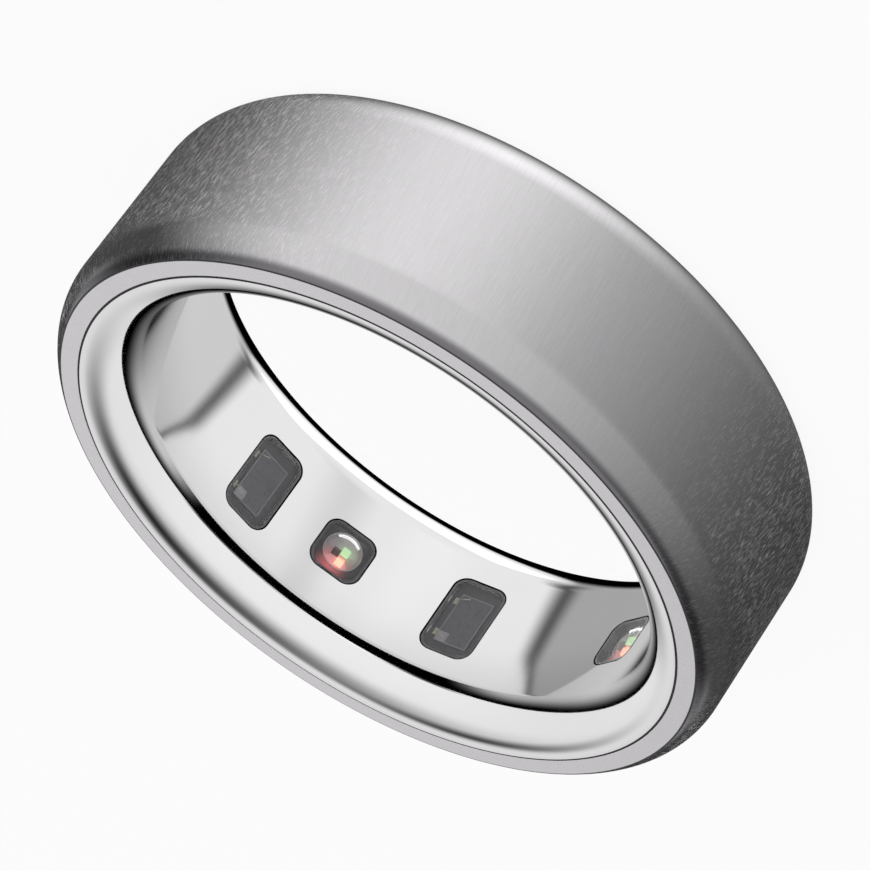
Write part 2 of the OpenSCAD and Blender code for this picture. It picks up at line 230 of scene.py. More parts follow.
def within(x, z, width, height, corner, grow=0.0):
    """Whether (x, z) lies in a rounded rectangle."""
    dx = max(abs(x) - (width / 2 - corner), 0)
    dz = max(abs(z) - (height / 2 - corner), 0)
    return math.hypot(dx, dz) < corner + grow


def on_bore(x, z, radius, at):
    """The place on a cylinder round the axis that lies over (x, z) of a window."""
    return turned((x, math.sqrt(radius ** 2 - x ** 2), mid_z + z), at)


def towards_axis(place):
    return -Vector((place.x, place.y, 0)).normalized()


def windows():
    """Width, height and angle of each window."""
    for at in receivers_at:
        yield window_w, receiver_h, at
    for at in emitters_at:
        yield window_w, emitter_h, at


def pierced_wall(skin, radius, sign, grow):
    """The liner's straight wall at a radius, with its windows cut out.

    It is drawn flat, from a seam that is clear of the windows, and then rolled up.
    """
    step = 2 * math.pi / ring_columns
    seam = round(-math.radians(wall_seam_at) / step) * step
    clearance = 0.12 * mm
    on_column = 1e-4
    heights = [wall_length * (k / wall_rows - 0.5) for k in range(wall_rows + 1)]

    def by_window(u, z):
        return any(abs(u + math.radians(at)) < (width / 2 + clearance) / radius
                   and abs(z) < height / 2 + clearance for width, height, at in windows())

    def in_window(u, z):
        for width, height, at in windows():
            t = u + math.radians(at)
            if abs(t) < math.pi / 4 and within(math.sin(t) * radius, z, width, height, window_corner, grow):
                return True
        return False

    places = []
    for column in range(ring_columns + 1):
        u = seam + column * step
        for z in heights:
            if z in (heights[0], heights[-1]) or not by_window(u, z):
                places.append(Vector((u * radius, z)))
    border = []
    for width, height, at in windows():
        first = len(places)
        for x, z, _ in outline(width, height, window_corner, grow):
            places.append(Vector(((math.asin(x / radius) - math.radians(at)) * radius, z)))
        count = len(places) - first
        border += [(first + k, first + (k + 1) % count) for k in range(count)]
    whole, least_gap = 0, 1e-6
    made, _, faces, _, _, _ = delaunay_2d_cdt([p / mm for p in places], border, [], whole, least_gap)
    for face in faces:
        flat = [Vector(made[i]) * mm for i in face]
        middle = sum(flat, Vector((0, 0))) / len(flat)
        if in_window(middle.x / radius, middle.y):
            continue
        corners = []
        for p in flat:
            t = p.x / radius
            k = t / step
            if abs(k - round(k)) < on_column:
                t = (round(k) % ring_columns) * step
            corners.append(Vector((math.sin(t) * radius, math.cos(t) * radius, mid_z + p.y)))
        if sign > 0:
            corners.reverse()
        skin.face(corners, [-sign * towards_axis(c) for c in corners])


def window_edges(skin):
    """The small bevel and the straight sides of each window in the liner."""
    for width, height, at in windows():
        rows = []
        for k in range(round_steps + 1):
            t = math.radians(90 * k / round_steps)
            grow = window_bevel * (1 - math.sin(t))
            radius = bore_r + window_bevel * (1 - math.cos(t))
            row = []
            for x, z, way in outline(width, height, window_corner, grow):
                place = on_bore(x, z, radius, at)
                side = turned((way[0], 0, way[1]), at)
                row.append((place, towards_axis(place) * math.cos(t) - side * math.sin(t)))
            rows.append(row + row[:1])
        skin.grid([list(reversed(row)) for row in rows])
        sides = []
        for radius in (bore_r + window_bevel, liner_r):
            row = []
            for x, z, way in outline(width, height, window_corner):
                row.append((on_bore(x, z, radius, at), -turned((way[0], 0, way[1]), at)))
            sides.append(row + row[:1])
        skin.grid([list(reversed(row)) for row in sides])


def rgba(colour):
    """A colour's four numbers from its three. A socket stays as it is."""
    return (*colour, 1) if isinstance(colour, tuple) else colour


class Graph:
    """Shader nodes written as calls."""

    def __init__(self, tree):
        self.tree = tree

    def node(self, kind, inputs=None, **settings):
        made = self.tree.nodes.new(kind)
        for name, value in settings.items():
            setattr(made, name, value)
        for name, value in (inputs or {}).items():
            self.put(made.inputs[name], value)
        return made

    def put(self, socket, value):
        if isinstance(value, bpy.types.NodeSocket):
            self.tree.links.new(value, socket)
        else:
            socket.default_value = value

    def math(self, operation, a, b=0.0, c=0.0):
        made = self.node("ShaderNodeMath", {0: a, 1: b, 2: c}, operation=operation)
        return made.outputs[0]

    def ramp(self, value, low, high, start=0.0, end=1.0):
        """A soft step from start to end while value goes from low to high."""
        made = self.node("ShaderNodeMapRange", {"Value": value, "From Min": low, "From Max": high,
                                                "To Min": start, "To Max": end},
                         interpolation_type="SMOOTHSTEP")
        return made.outputs["Result"]

    def hump(self, value, middle, half, height=1.0):
        """A soft bump of value about its middle."""
        away = self.math("ABSOLUTE", self.math("SUBTRACT", value, middle))
        return self.ramp(away, 0.0, half, height, 0.0)

    def pool(self, x, y, middle, reach, turn=0.0, height=1.0):
        """A soft round pool, full at its middle and gone at its reach, turned by some degrees."""
        cos = math.cos(math.radians(turn))
        sin = math.sin(math.radians(turn))
        dx = self.math("SUBTRACT", x, middle[0])
        dy = self.math("SUBTRACT", y, middle[1])
        along = self.math("MULTIPLY_ADD", dx, cos, self.math("MULTIPLY", dy, sin))
        across = self.math("MULTIPLY_ADD", dy, cos, self.math("MULTIPLY", dx, -sin))
        away = self.length(self.math("DIVIDE", along, reach[0]), self.math("DIVIDE", across, reach[1]))
        return self.ramp(away, 1.0, 0.0, 0.0, height)

    def length(self, x, y):
        return self.math("SQRT", self.math("MULTIPLY_ADD", x, x, self.math("MULTIPLY", y, y)))

    def less(self, value):
        """What a share leaves of the whole."""
        return self.math("SUBTRACT", 1.0, value)

    def product(self, first, *others):
        for other in others:
            first = self.math("MULTIPLY", first, other)
        return first

    def mixed(self, factor, start, end):
        return self.node("ShaderNodeMix", {0: factor, 2: start, 3: end}).outputs[0]

    def colours(self, factor, low, high):
        """A mix of two colours, each given as three numbers or as a socket."""
        made = self.node("ShaderNodeMix", {0: factor, 6: rgba(low), 7: rgba(high)}, data_type="RGBA")
        return made.outputs[2]

    def place(self):
        return self.node("ShaderNodeTexCoord").outputs["Object"]

    def axes(self, place=None):
        """x, y and z of a place, or else of the place on the object."""
        parts = self.node("ShaderNodeSeparateXYZ", {0: self.place() if place is None else place})
        return [parts.outputs[k] for k in range(3)]

    def axes_mm(self):
        """x, y and z of the place on the object, in millimetres."""
        return [self.math("DIVIDE", part, mm) for part in self.axes()]

    def azimuth(self):
        """Degrees round the ring from its near side, towards +X."""
        x, y, _ = self.axes()
        return self.math("DEGREES", self.math("ARCTAN2", x, self.math("MULTIPLY", y, -1.0)))

    def stretched(self, stretch):
        """The place on the object, stretched."""
        made = self.node("ShaderNodeVectorMath", {0: self.place(), 1: stretch}, operation="MULTIPLY")
        return made.outputs[0]

    def brushed(self, line_w, length_share, twist):
        """The place on the band in line widths, with lines along the finger that run on over both edges."""
        x, y, z = self.axes()
        radius = self.length(x, y)
        side = self.math("SIGN", self.math("SUBTRACT", z, mid_z))
        along = self.math("MULTIPLY_ADD", side, self.math("SUBTRACT", outer_r, radius), z)
        turn = self.math("MULTIPLY_ADD", along, twist, self.math("ARCTAN2", y, x))
        across = outer_r / line_w
        place = self.node("ShaderNodeCombineXYZ", {
            "X": self.math("MULTIPLY", self.math("COSINE", turn), across),
            "Y": self.math("MULTIPLY", self.math("SINE", turn), across),
            "Z": self.math("MULTIPLY", along, length_share / line_w)})
        return place.outputs[0]

    def noise(self, vector, detail):
        made = self.node("ShaderNodeTexNoise", {"Vector": vector, "Scale": 1.0, "Detail": detail})
        return made.outputs["Fac"]

    def grain(self, size, detail):
        """Even noise whose specks have a size."""
        return self.noise(self.stretched((1 / size,) * 3), detail)

    def light(self, strength):
        """The shader of a white light."""
        return self.node("ShaderNodeEmission", {"Color": (1, 1, 1, 1), "Strength": strength}).outputs[0]

    def see_through(self):
        return self.node("ShaderNodeBsdfTransparent").outputs[0]

    def either(self, factor, first, second):
        """The first shader where a factor is 0 and the second where it is 1."""
        return self.node("ShaderNodeMixShader", {0: factor, 1: first, 2: second}).outputs[0]


def new_material(name):
    """A material with a shader and its graph."""
    made = bpy.data.materials.new(name)
    made.use_nodes = True
    return made, Graph(made.node_tree), made.node_tree.nodes["Principled BSDF"]


def set_shader(graph, shader, **values):
    for name, value in values.items():
        graph.put(shader.inputs[name.replace("_", " ")], value)


def bumped(graph, shader, height, distance, strength):
    made = graph.node("ShaderNodeBump", {"Height": height, "Distance": distance, "Strength": strength})
    graph.put(shader.inputs["Normal"], made.outputs["Normal"])


def brushed_metal():
    """Satin metal with fine scratches along the finger, and a painted shade that darkens it close to both
    rims.
    """
    material, graph, shader = new_material("brushed_metal")
    line_w, line_share, line_twist = 0.045 * mm, 0.04, 6.0
    scratch_w, scratch_share, scratch_twist = 0.024 * mm, 0.07, -9.0
    plain, pale = (0.54, 0.53, 0.54), (0.57, 0.56, 0.57)
    scratched, painted_shade_colour = (0.98, 0.94, 0.97), (0.1, 0.095, 0.105)
    shade_w, full_shade_w = 0.34 * mm, 0.12 * mm
    fine = graph.noise(graph.brushed(line_w, line_share, line_twist), 2.0)
    short = graph.noise(graph.brushed(scratch_w, scratch_share, scratch_twist), 1.0)
    # The scratches are few in the middle of the near side, and many from some degrees away
    few_to, many_from, few_share = 20, 62, 0.05
    worn = graph.ramp(graph.math("ABSOLUTE", graph.azimuth()), few_to, many_from, few_share, 1.0)
    scratches = graph.math("MULTIPLY", graph.ramp(short, 0.57, 0.66), worn)
    # The painted shade along the rims is strong at the front one and slight at the rear one
    z = graph.axes()[2]
    from_middle = graph.math("ABSOLUTE", graph.math("SUBTRACT", z, mid_z))
    rim_painted_shade = graph.ramp(from_middle, mid_z - shade_w, mid_z - full_shade_w, 0.0, 0.8)
    rim_painted_shade = graph.math("MULTIPLY", rim_painted_shade, graph.ramp(z, mid_z - 1 * mm, mid_z + 1 * mm, 0.35, 1.0))
    metal = graph.colours(graph.ramp(fine, 0.3, 0.7), plain, pale)
    metal = graph.colours(scratches, metal, scratched)
    set_shader(graph, shader, Base_Color=graph.colours(rim_painted_shade, metal, painted_shade_colour), Metallic=1.0,
               Roughness=graph.ramp(scratches, 0.0, 1.0, 0.2, 0.5))
    bumped(graph, shader, graph.math("MULTIPLY_ADD", fine, 0.3, scratches), 0.003 * mm, 0.5)
    return material


def satin_metal():
    """The pale flat rim of the shell."""
    material, graph, shader = new_material("satin_metal")
    cloud = graph.grain(0.4 * mm, 3.0)
    speck = graph.grain(0.03 * mm, 2.0)
    set_shader(graph, shader, Base_Color=graph.colours(cloud, (0.8, 0.775, 0.805), (0.84, 0.815, 0.845)),
               Metallic=1.0, Roughness=graph.ramp(speck, 0.3, 0.7, 0.26, 0.32))
    bumped(graph, shader, speck, 0.001 * mm, 0.3)
    return material


def polished_metal():
    """The mirror finish of the liner, with the faintest haze."""
    material, graph, shader = new_material("polished_metal")
    hair_w = 0.02 * mm
    hair_length = 0.6 * mm
    cloud = graph.grain(1.5 * mm, 3.0)
    hair = graph.noise(graph.stretched((1 / hair_w, 1 / hair_w, 1 / hair_length)), 2.0)
    set_shader(graph, shader, Base_Color=graph.colours(cloud, (0.86, 0.855, 0.86), (0.89, 0.885, 0.89)),
               Metallic=1.0, Roughness=graph.ramp(hair, 0.3, 0.8, 0.05, 0.08))
    return material


def add_coat(graph, shader, index):
    """A clear glossy coat of a refractive index, or none at 0."""
    if index:
        set_shader(graph, shader, Coat_Weight=1.0, Coat_IOR=index, Coat_Roughness=0.03)


def solid(name, colour, roughness, grain, metallic=0.0, spread=0.15, coat=0.0):
    """An opaque finish with a grain of the given size in millimetres."""
    material, graph, shader = new_material(name)
    speck = graph.grain(grain * mm, 3.0)
    low = tuple(c * (1 - spread) for c in colour)
    high = tuple(min(c * (1 + spread), 1.0) for c in colour)
    set_shader(graph, shader, Base_Color=graph.colours(speck, low, high), Metallic=metallic,
               Roughness=graph.ramp(speck, 0.3, 0.7, roughness * 0.85, min(roughness * 1.15, 1.0)))
    bumped(graph, shader, speck, 0.002 * mm, 0.4)
    add_coat(graph, shader, coat)
    return material


def clear(name, colour, roughness=0.02, ior=1.5, coat=1.5):
    """A clear resin with a trace of unevenness and a glossy face."""
    material, graph, shader = new_material(name)
    low = tuple(c * 0.97 for c in colour)
    set_shader(graph, shader, Base_Color=graph.colours(graph.grain(0.5 * mm, 2.0), low, colour),
               Roughness=roughness, IOR=ior, Transmission_Weight=1.0)
    add_coat(graph, shader, coat)
    return material


def glowing(name, colour, strength):
    """A lit light-emitting die."""
    material, graph, shader = new_material(name)
    low = tuple(c * 0.85 for c in colour)
    lit = graph.colours(graph.grain(0.05 * mm, 2.0), low, colour)
    set_shader(graph, shader, Base_Color=lit, Emission_Color=lit, Emission_Strength=strength, Roughness=0.4)
    return material


def slot_materials():
    """One finish for each of the record's material slots, and the one for the emitters' films."""
    return {
        "brushed_titanium": brushed_metal(),
        "polished_titanium": polished_metal(),
        "seal_black": solid("seal_black", (0.03, 0.029, 0.032), 0.7, 0.03),
        "potting_resin": solid("potting_resin", (0.05, 0.055, 0.065), 0.3, 0.4),
        "insulating_film": solid("insulating_film", (0.5, 0.26, 0.06), 0.25, 0.6),
        "circuit_green": solid("circuit_green", (0.03, 0.17, 0.08), 0.35, 0.2),
        "board_blue": solid("board_blue", (0.03, 0.1, 0.28), 0.35, 0.2),
        "chip_black": solid("chip_black", (0.03, 0.03, 0.032), 0.6, 0.03),
        "capacitor_tan": solid("capacitor_tan", (0.45, 0.34, 0.22), 0.5, 0.05),
        "can_silver": solid("can_silver", (0.72, 0.71, 0.68), 0.3, 0.05, metallic=1.0),
        "inductor_grey": solid("inductor_grey", (0.17, 0.16, 0.15), 0.6, 0.03),
        "battery_pouch": solid("battery_pouch", (0.62, 0.64, 0.67), 0.35, 0.3, metallic=1.0),
        "glue_pad": solid("glue_pad", (0.7, 0.67, 0.6), 0.8, 0.1),
        "nickel": solid("nickel", (0.66, 0.65, 0.63), 0.3, 0.05, metallic=1.0),
        "copper": solid("copper", (0.72, 0.36, 0.18), 0.3, 0.08, metallic=1.0),
        "gold": solid("gold", (1.0, 0.94, 0.72), 0.35, 0.02, spread=0.05),
        "ferrite": solid("ferrite", (0.06, 0.057, 0.055), 0.7, 0.03),
        "carrier_white": solid("carrier_white", (0.75, 0.74, 0.71), 0.5, 0.1),
        "window_resin": clear("window_resin", (0.92, 0.91, 0.93), ior=1.15),
        "lens_clear": clear("lens_clear", (0.97, 0.97, 0.97), 0.01, ior=1.25, coat=1.9),
        "film_clear": clear("film_clear", (0.98, 0.98, 0.985), 0.0, coat=0.0),
        "frame_black": solid("frame_black", (0.085, 0.082, 0.09), 0.4, 0.03, coat=1.5),
        "base_dark": solid("base_dark", (0.115, 0.11, 0.12), 0.5, 0.05),
        "silicon": solid("silicon", (0.145, 0.142, 0.158), 0.3, 0.15),
        "die_green": glowing("die_green", (0.55, 0.9, 0.45), 0.9),
        "die_red": glowing("die_red", (1.0, 0.32, 0.2), 2.5),
        "die_infrared": solid("die_infrared", (0.2, 0.1, 0.06), 0.4, 0.05),
    }


def finish_nodes(materials):
    """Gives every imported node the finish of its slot."""
    for part in record["subparts"]:
        node = frame["nodes"][part["node"]]
        node.data.materials.clear()
        node.data.materials.append(materials[part["material_slot"]])


def put_in_place(piece, slot, *nodes):
    """The piece rides on the ring and stands for the nodes. The slot is not used."""
    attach(piece, "root")
    if nodes:
        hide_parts(*nodes)


def shell_piece(materials):
    """The outer band with its two flat satin rims and the groove inside."""
    skin = Skin()
    band, rim, line = 0, 1, 2
    arc_centre = (outer_r - edge_r, ring_w - edge_len)
    # The small round that joins the rounded edge to the flat rim
    inner = edge_r - rim_round
    blend_z = ring_w - rim_round
    blend_t = math.asin((blend_z - arc_centre[1]) / inner)
    blend_centre = (arc_centre[0] + inner * math.cos(blend_t), blend_z)
    edge = arc(arc_centre, edge_r, 0, math.degrees(blend_t), edge_steps)
    corner = arc(blend_centre, rim_round, math.degrees(blend_t), 90, round_steps)
    mouth = arc((shell_in_r + seam_round, ring_w - seam_round), seam_round, 90, 180, round_steps)
    flat = straight((blend_centre[0], ring_w), (shell_in_r + seam_round, ring_w), (0, 1))
    lathe(skin, straight((outer_r, edge_len), (outer_r, ring_w - edge_len), (1, 0)), band)
    for stretch, finish in ((edge, band), (corner, line), (flat, rim), (mouth, rim)):
        lathe(skin, stretch, finish)
        lathe(skin, mirrored(stretch), finish)
    inside = straight((shell_in_r, ring_w - seam_round), (shell_in_r, ring_w - flange_t), (-1, 0))
    step = straight((shell_in_r, ring_w - flange_t), (groove_r, ring_w - flange_t), (0, -1))
    for stretch in (inside, step):
        lathe(skin, stretch, rim)
        lathe(skin, mirrored(stretch), rim)
    lathe(skin, straight((groove_r, ring_w - flange_t), (groove_r, flange_t), (-1, 0)), rim)
    edge_line = solid("edge_line", (0.03, 0.028, 0.032), 0.6, 0.03)
    piece = skin.make("shell", materials["brushed_titanium"], satin_metal(), edge_line)
    put_in_place(piece, "brushed_titanium", "outer_shell")


def liner_piece(materials):
    """The polished sleeve with its rounded lips and its windows."""
    skin = Skin()
    top = ring_w - lip_r
    lip = arc((lip_edge_r, top), lip_r, 90, 180, lip_steps, 1)
    end = straight((lip_edge_r, ring_w - lip_wall), (lip_edge_r, ring_w), (1, 0))
    back = arc((lip_edge_r, top), lip_r - lip_wall, 180, 90, lip_steps, -1)
    step = straight((liner_r, top), (lip_edge_r - lip_r + lip_wall, top), (0, -1))
    for stretch in (lip, end, back, step):
        lathe(skin, stretch)
        lathe(skin, mirrored(stretch))
    pierced_wall(skin, bore_r, -1, window_bevel)
    pierced_wall(skin, liner_r, 1, 0.0)
    window_edges(skin)
    piece = skin.make("liner", materials["polished_titanium"])
    put_in_place(piece, "polished_titanium", "inner_liner")


def cap_rows(shape, surface, rings):
    """Rings of (place, normal) from an outline in to its middle."""
    rows = []
    for k in range(rings + 1):
        share = 1 - k / rings
        row = [surface(x * share, z * share) for x, z, _ in shape]
        rows.append(row + row[:1])
    return rows


def bore_surface(radius, at, facing):
    """A surface over a window that follows the bore, facing its axis at 1 and away from it at -1."""
    def surface(x, z):
        place = on_bore(x, z, radius, at)
        return place, towards_axis(place) * facing
    return surface


def flat_surface(y, at, rise=0.0):
    """A flat surface over a window, facing away from the axis."""
    def surface(x, z):
        return turned((x, y, mid_z + rise + z), at), turned((0, 1, 0), at)
    return surface


def closed_sheet(skin, shape, front, back, rings, at):
    """A closed sheet between two surfaces over an outline, with a number of rings for each."""
    skin.grid(cap_rows(shape, front, rings[0]))
    skin.grid([list(reversed(row)) for row in cap_rows(shape, back, rings[1])])
    low = [(front(x, z)[0], turned((way[0], 0, way[1]), at)) for x, z, way in shape]
    high = [(back(x, z)[0], turned((way[0], 0, way[1]), at)) for x, z, way in shape]
    skin.grid([high + high[:1], low + low[:1]])


def resin_piece(number, at, materials):
    """A receiver window's fill, whose face follows the bore."""
    skin = Skin()
    shape = outline(clear_w, clear_receiver_h, clear_corner)
    front = bore_surface(fill_r, at, 1)
    back = flat_surface(fill_r + resin_t, at)
    closed_sheet(skin, shape, front, back, (bent_rings, flat_rings), at)
    piece = skin.make(f"resin_window_{number}", materials["window_resin"])
    put_in_place(piece, "window_resin", f"receiver_window_{number}")


def lens_piece(number, at, materials):
    """A clear dome on its thin flange."""
    skin = Skin()
    middle_z = mid_z - emitter_set
    centre = Vector((0, fill_r + lens_r, middle_z))
    reach = math.asin(lens_d / 2 / lens_r)
    rows = []
    for k in range(dome_rings + 1):
        tilt = reach * (1 - k / dome_rings)
        row = []
        for s in range(dome_spokes + 1):
            t = 2 * math.pi * (s % dome_spokes) / dome_spokes
            way = Vector((math.sin(tilt) * math.cos(t), -math.cos(tilt), math.sin(tilt) * math.sin(t)))
            row.append((turned(centre + way * lens_r, at), turned(way, at)))
        rows.append(row)
    skin.grid(rows)
    shape = outline(clear_w, clear_emitter_h - 2 * emitter_set, clear_corner)
    sides = []
    for y in (emitter_y, lens_y):
        row = [(turned((x, y, middle_z + z), at), turned((way[0], 0, way[1]), at)) for x, z, way in shape]
        sides.append(row + row[:1])
    skin.grid(sides)
    back = cap_rows(shape, flat_surface(emitter_y, at, -emitter_set), flat_rings)
    skin.grid([list(reversed(row)) for row in back])
    # The flange's face, from its outline in to the dome's foot
    outer = [(x, z) for x, z, _ in shape]
    turns = [math.atan2(z, x) for x, z in outer]
    foot = [(math.cos(t) * lens_d / 2, math.sin(t) * lens_d / 2) for t in turns]
    face = []
    for ring in (outer, foot):
        row = [(turned((x, lens_y, middle_z + z), at), turned((0, -1, 0), at)) for x, z in ring]
        face.append(row + row[:1])
    skin.grid(face)
    piece = skin.make(f"lens_{number}", materials["lens_clear"])
    put_in_place(piece, "lens_clear", f"emitter_lens_{number}")


def tube(skin, path, radius, sides=10):
    """A round wire along a path."""
    # A direction that no wire follows
    aside = Vector((0.13, 0.37, 0.92))
    rows = []
    for k, place in enumerate(path):
        ahead = path[min(k + 1, len(path) - 1)] - path[max(k - 1, 0)]
        ahead.normalize()
        across = ahead.cross(aside).normalized()
        over = ahead.cross(across)
        row = []
        for s in range(sides + 1):
            t = 2 * math.pi * (s % sides) / sides
            way = across * math.cos(t) + over * math.sin(t)
            row.append((place + way * radius, way))
        rows.append(row)
    skin.grid(rows)
    for end, backwards in ((rows[0], False), (rows[-1], True)):
        middle = sum((c[0] for c in end[:-1]), Vector()) / sides
        ring = list(reversed(end)) if backwards else end
        for a, b in zip(ring, ring[1:]):
            skin.face([a[0], b[0], middle], [a[1], b[1], a[1]])


def ball(skin, centre, radius, rings=8, spokes=16):
    """A small round ball."""
    rows = []
    for k in range(rings + 1):
        tilt = math.pi * k / rings
        row = []
        for s in range(spokes + 1):
            t = 2 * math.pi * (s % spokes) / spokes
            way = Vector((math.sin(tilt) * math.cos(t), math.sin(tilt) * math.sin(t), math.cos(tilt)))
            row.append((centre + way * radius, way))
        rows.append(row)
    skin.grid([list(reversed(row)) for row in rows])


def wire_path(start, end, rise):
    """A wire's loop between two places in a window's own frame, a little steeper at its start."""
    steps = 24
    path = []
    for k in range(steps + 1):
        share = k / steps
        place = start.lerp(end, share)
        lift = math.sin(math.pi * share ** 0.8) ** 0.7
        place.y -= rise * lift
        path.append(place)
    return path


def wires_piece(number, at, materials):
    """The two gold wires of a receiver, from its pads to its die."""
    skin = Skin()
    pad_x = 0.85 * clear_w / 2
    pad_z = (-0.51 * clear_receiver_h / 2, 0.45 * clear_receiver_h / 2)
    face_y = base_y - die_size.y
    feet = (Vector((0.48 * die_size.x / 2, face_y, -0.88 * die_size.z / 2)),
            Vector((0.6 * die_size.x / 2, face_y - 0.01 * mm, 0.77 * die_size.z / 2)))
    for z, foot in zip(pad_z, feet):
        start = Vector((pad_x, base_y - pad_t, z))
        path = [turned(p + Vector((0, 0, mid_z)), at) for p in wire_path(start, foot, wire_rise)]
        tube(skin, path, wire_r)
        ball(skin, path[-1], 2 * wire_r)
    piece = skin.make(f"gold_wires_{number}", materials["gold"])
    put_in_place(piece, "gold", f"bond_wires_{number}")


def plate(skin, shape, y, thick, at, rise=0.0, hole=None):
    """A thin closed plate with its back at a depth. Its outline, and its hole's, are (x, z) points."""
    middle = (sum(x for x, _ in shape) / len(shape), sum(z for _, z in shape) / len(shape))
    inner = hole or [middle] * len(shape)
    outward = [Vector((x - middle[0], 0, z - middle[1])).normalized() for x, z in shape]

    def ring(points, depth, normals):
        row = []
        for (x, z), normal in zip(points, normals):
            row.append((turned((x, depth, mid_z + rise + z), at), turned(normal, at)))
        return row + row[:1]

    facing = [(0, -1, 0)] * len(shape)
    away = [(0, 1, 0)] * len(shape)
    front = y - thick
    skin.grid([ring(shape, front, facing), ring(inner, front, facing)])
    skin.grid([ring(inner, y, away), ring(shape, y, away)])
    skin.grid([ring(shape, y, outward), ring(shape, front, outward)])
    if hole:
        inward = [-way for way in outward]
        skin.grid([ring(inner, front, inward), ring(inner, y, inward)])


def rectangle(width, height, x=0.0, z=0.0):
    return [(x + sx * width / 2, z + sz * height / 2) for sx, sz in ((1, 1), (-1, 1), (-1, -1), (1, -1))]


def die_marks_piece(number, at, materials):
    """The pale metal border of a receiver's die and the patch under its second wire."""
    line = 0.024 * mm
    inset = 0.02 * mm
    thick = 0.004 * mm
    patch = 0.4 * mm
    face_y = base_y - die_size.y
    skin = Skin()
    width = die_size.x - 2 * inset
    height = die_size.z - 2 * inset
    plate(skin, rectangle(width, height), face_y, thick, at,
          hole=rectangle(width - 2 * line, height - 2 * line))
    corner = (width / 2 - line - patch / 2, height / 2 - line - patch / 2)
    plate(skin, rectangle(patch, patch, *corner), face_y, 3 * thick, at)
    finish = solid("die_border", (0.56, 0.55, 0.57), 0.45, 0.05)
    put_in_place(skin.make(f"die_marks_{number}", finish), "silicon")


def window_place(graph):
    """x and z on a window's flat plate, in millimetres from the window's middle."""
    x, _, z = graph.axes_mm()
    return x, graph.math("SUBTRACT", z, mid_z / mm)


def painted_glow_plate_material(number):
    """A plate that is pale under the dome, with a painted glow of the red and green dice's light on it."""
    material, graph, shader = new_material(f"painted_glow_plate_{number}")
    x, z = window_place(graph)
    # Where the pale part ends and where it is dark, in millimetres from the dome's middle
    pale_to, dark_from = 0.86, 1.0
    from_dome = graph.length(x, graph.math("ADD", z, emitter_set / mm))
    under_dome = graph.ramp(from_dome, dark_from, pale_to)
    pale = graph.colours(graph.grain(0.05 * mm, 2.0), (0.6, 0.58, 0.6), (0.7, 0.68, 0.7))
    # Painted glow: soft pools of red and green light, standing for the dice's light on the plate
    red = graph.pool(x, z, (0.1, 0.42), (0.95, 0.72))
    green = graph.pool(x, z, (-0.22, -0.2), (0.6, 0.5), height=0.7)
    glow = graph.colours(red, (0.07, 0.066, 0.072), (0.7, 0.1, 0.11))
    glow = graph.colours(green, glow, (0.3, 0.42, 0.2))
    # Painted light: the glow colour is emitted, faintly on the dark part and more strongly on the pale part
    set_shader(graph, shader, Base_Color=graph.colours(under_dome, (0.06, 0.056, 0.062), pale),
               Emission_Color=glow, Emission_Strength=graph.mixed(under_dome, 0.35, 0.8), Roughness=0.4)
    return material


def painted_glow_plate_piece(number, at):
    """The thin plate on an emitter's base, seen through its lens."""
    thick = 0.01 * mm
    skin = Skin()
    shape = [(x, z) for x, z, _ in outline(clear_w, clear_emitter_h - 2 * emitter_set, clear_corner)]
    plate(skin, shape, emitter_y, thick, 0, rise=-emitter_set)
    piece = skin.make(f"painted_glow_plate_{number}", painted_glow_plate_material(number))
    piece.matrix_world = Matrix.Rotation(math.radians(at), 4, "Z")
    put_in_place(piece, "base_dark")


def face_material(number):
    """The dark face round a dome, with a painted red glow on one side that stands for the red die's light.
    """
    material, graph, shader = new_material(f"emitter_face_{number}")
    x, z = window_place(graph)
    speck = graph.grain(0.03 * mm, 2.0)
    # Painted glow: a soft pool of red light on the face, standing for the red die's light
    glow = graph.colours(graph.pool(x, z, (0.1, 0.62), (0.8, 0.6)), (0.0, 0.0, 0.0), (0.5, 0.09, 0.1))
    set_shader(graph, shader, Base_Color=graph.colours(speck, (0.05, 0.048, 0.054), (0.06, 0.058, 0.064)),
               Emission_Color=glow, Emission_Strength=1.0, Specular_IOR_Level=0.15,
               Roughness=graph.ramp(speck, 0.3, 0.7, 0.44, 0.54))
    return material


def reach_out(t):
    """The point of an emitter window's clear outline that lies at an angle from the dome's middle."""
    halvings = 30
    near, far = 0.0, clear_w
    for _ in range(halvings):
        reach = (near + far) / 2
        x = reach * math.cos(t)
        z = reach * math.sin(t) - emitter_set
        if within(x, z, clear_w, clear_emitter_h, clear_corner):
            near = reach
        else:
            far = reach
    return x, z


def face_piece(number, at):
    """The dark face that a dome rises through, and the pale ring that holds the dome."""
    thick = 0.02 * mm
    depth = 0.04 * mm
    hole_r = 0.745 * mm
    ring_line = 0.03 * mm
    turns = [2 * math.pi * k / dome_spokes for k in range(dome_spokes)]

    def circle(radius):
        return [(radius * math.cos(t), radius * math.sin(t) - emitter_set) for t in turns]

    skin = Skin()
    plate(skin, [reach_out(t) for t in turns], lens_y - depth, thick, 0, hole=circle(hole_r))
    piece = skin.make(f"emitter_face_{number}", face_material(number))
    piece.matrix_world = Matrix.Rotation(math.radians(at), 4, "Z")
    put_in_place(piece, "frame_black")
    skin = Skin()
    plate(skin, circle(hole_r), lens_y - depth, 2 * thick, at, hole=circle(hole_r - ring_line))
    finish = solid(f"dome_ring_{number}", (0.9, 0.88, 0.9), 0.35, 0.03)
    put_in_place(skin.make(f"dome_ring_{number}", finish), "can_silver")


